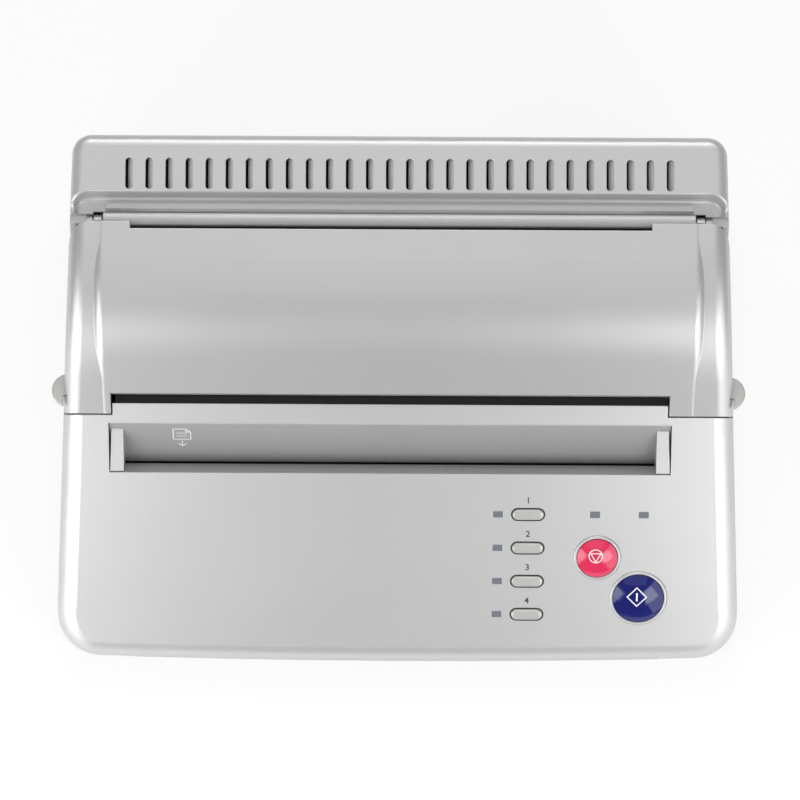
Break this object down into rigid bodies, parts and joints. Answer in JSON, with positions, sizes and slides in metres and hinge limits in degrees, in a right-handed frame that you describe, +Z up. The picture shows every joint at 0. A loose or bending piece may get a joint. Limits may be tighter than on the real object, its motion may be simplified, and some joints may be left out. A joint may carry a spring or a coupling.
{
  "type": "thermal stencil copier",
  "caption": "Desk-top thermal stencil copier: sloping key panel with a document slot, hinged lid over a thermal head and platen, vented rear tower.",
  "frame": {"origin": "on the desk, under the middle of the machine", "axes": "+X to the right of the user who faces the key panel, +Y to the back, +Z up"},
  "size_m": [0.2888, 0.2053, 0.1094],
  "materials": {
    "silver_shell": "satin, silver coloured",
    "silver_lid": "satin, silver coloured",
    "dark_slide": "satin grey",
    "dark_base": "satin grey",
    "pink_key": "glossy, bright pink",
    "blue_key": "glossy, deep blue",
    "grey_key": "satin light grey",
    "lamp_lens": "clear grey, glossy",
    "black_rubber": "matt",
    "roller_rubber": "fine ground",
    "bright_steel": "turned",
    "plated_sheet": "zinc plated",
    "sintered_bronze": "sintered",
    "gear_plastic": "natural white",
    "black_plastic": "satin black",
    "sink_aluminium": "extruded",
    "ceramic": "glazed ceramic",
    "clear_glass": "clear",
    "green_board": "solder mask",
    "white_nylon": "satin"
  },
  "bodies": {
    "case": {"base_tray": "dark_base", "rubber_feet": "black_rubber", "case_screws": "bright_steel", "front_cover": "silver_shell", "rear_cover": "silver_shell", "document_slope_plate": "dark_slide", "document_end_guides": "silver_shell", "rear_guide_strip": "silver_shell", "stencil_entry_bar": "silver_shell", "hinge_pins": "bright_steel", "lever_strikes": "bright_steel", "left_side_plate": "plated_sheet", "right_side_plate": "plated_sheet", "cross_bar": "plated_sheet", "platen_bushes": "sintered_bronze", "feed_bushes": "sintered_bronze", "idler_studs": "bright_steel", "stepper_motor": "plated_sheet", "image_sensor": "black_plastic", "sensor_glass": "clear_glass", "sensor_bracket": "plated_sheet", "document_lower_guide": "black_plastic", "stencil_guide_plate": "black_plastic", "stencil_exit_guide": "black_plastic", "stop_key_ring": "silver_shell", "copy_key_ring": "silver_shell", "lamp_windows": "lamp_lens", "key_board": "green_board", "key_switches": "black_plastic", "main_board": "green_board", "main_board_parts": "black_plastic", "board_stand_offs": "white_nylon", "power_supply": "plated_sheet", "mains_inlet": "black_plastic", "power_switch_housing": "black_plastic"},
    "lid": {"lid_shell": "silver_lid", "lever_pivots": "bright_steel", "head_bracket": "plated_sheet", "head_springs": "bright_steel"},
    "head": {"heat_sink": "sink_aluminium", "thermal_head": "ceramic", "head_driver_cover": "black_plastic"},
    "right_lever": {"right_thumb_lever": "grey_key"},
    "left_lever": {"left_thumb_lever": "grey_key"},
    "platen": {"platen_roller": "roller_rubber", "platen_shaft": "bright_steel", "platen_gear": "gear_plastic"},
    "feed": {"feed_roller": "roller_rubber", "feed_shaft": "bright_steel", "feed_gear": "gear_plastic"},
    "upper_idler": {"upper_idler_gear": "gear_plastic"},
    "lower_idler": {"lower_idler_gear": "gear_plastic"},
    "pinion": {"motor_pinion": "sintered_bronze"},
    "key_1": {"mode_key_1": "grey_key"},
    "key_2": {"mode_key_2": "grey_key"},
    "key_3": {"mode_key_3": "grey_key"},
    "key_4": {"mode_key_4": "grey_key"},
    "stop": {"stop_key": "pink_key"},
    "copy": {"copy_key": "blue_key"},
    "rocker": {"power_rocker": "black_plastic"}
  },
  "joints": [
    {"name": "lid_hinge", "type": "hinge", "parent": "case", "child": "lid", "pos_m": [0, 0.069, 0.095], "axis": [-1, 0, 0], "range_deg": [0, 55]},
    {"name": "head_float", "type": "slide", "parent": "lid", "child": "head", "axis": [0, 0, 1], "range_m": [0, 0.0015], "stiffness_N_per_m": 2000, "deforming": ["head_springs"]},
    {"name": "right_lever_turn", "type": "hinge", "parent": "lid", "child": "right_lever", "pos_m": [0.1285, 0.02, 0.0645], "axis": [-1, 0, 0], "range_deg": [0, 6], "stiffness_Nm_per_rad": 0.05},
    {"name": "left_lever_turn", "type": "hinge", "parent": "lid", "child": "left_lever", "pos_m": [-0.1285, 0.02, 0.0645], "axis": [-1, 0, 0], "range_deg": [0, 6], "stiffness_Nm_per_rad": 0.05},
    {"name": "platen_turn", "type": "hinge", "parent": "case", "child": "platen", "pos_m": [0, 0.022, 0.066], "axis": [1, 0, 0], "continuous": true},
    {"name": "upper_idler_turn", "type": "hinge", "parent": "case", "child": "upper_idler", "pos_m": [0.1209, 0.00242, 0.05078], "axis": [1, 0, 0], "continuous": true},
    {"name": "pinion_turn", "type": "hinge", "parent": "case", "child": "pinion", "pos_m": [0.1209, 0.00786, 0.03404], "axis": [1, 0, 0], "continuous": true},
    {"name": "lower_idler_turn", "type": "hinge", "parent": "case", "child": "lower_idler", "pos_m": [0.1209, -0.0202, 0.0388], "axis": [1, 0, 0], "continuous": true},
    {"name": "feed_turn", "type": "hinge", "parent": "case", "child": "feed", "pos_m": [0, -0.04, 0.02832], "axis": [1, 0, 0], "continuous": true},
    {"name": "mode_key_1_press", "type": "slide", "parent": "case", "child": "key_1", "axis": [0, 0.4848, -0.8746], "range_m": [0, 0.001], "stiffness_N_per_m": 300},
    {"name": "mode_key_2_press", "type": "slide", "parent": "case", "child": "key_2", "axis": [0, 0.4848, -0.8746], "range_m": [0, 0.001], "stiffness_N_per_m": 300},
    {"name": "mode_key_3_press", "type": "slide", "parent": "case", "child": "key_3", "axis": [0, 0.4848, -0.8746], "range_m": [0, 0.001], "stiffness_N_per_m": 300},
    {"name": "mode_key_4_press", "type": "slide", "parent": "case", "child": "key_4", "axis": [0, 0.4848, -0.8746], "range_m": [0, 0.001], "stiffness_N_per_m": 300},
    {"name": "stop_key_press", "type": "slide", "parent": "case", "child": "stop", "axis": [0, 0.4848, -0.8746], "range_m": [0, 0.001], "stiffness_N_per_m": 400},
    {"name": "copy_key_press", "type": "slide", "parent": "case", "child": "copy", "axis": [0, 0.4848, -0.8746], "range_m": [0, 0.001], "stiffness_N_per_m": 400},
    {"name": "power_rocker_tilt", "type": "hinge", "parent": "case", "child": "rocker", "pos_m": [0.062, 0.0972, 0.03], "axis": [-1, 0, 0], "range_deg": [0, 18]}
  ],
  "couplings": [
    {"joint": "upper_idler_turn", "follows": "platen_turn", "ratio": -0.9375},
    {"joint": "pinion_turn", "follows": "platen_turn", "ratio": 2.5},
    {"joint": "lower_idler_turn", "follows": "platen_turn", "ratio": 0.9375},
    {"joint": "feed_turn", "follows": "platen_turn", "ratio": -1.25}
  ]
}
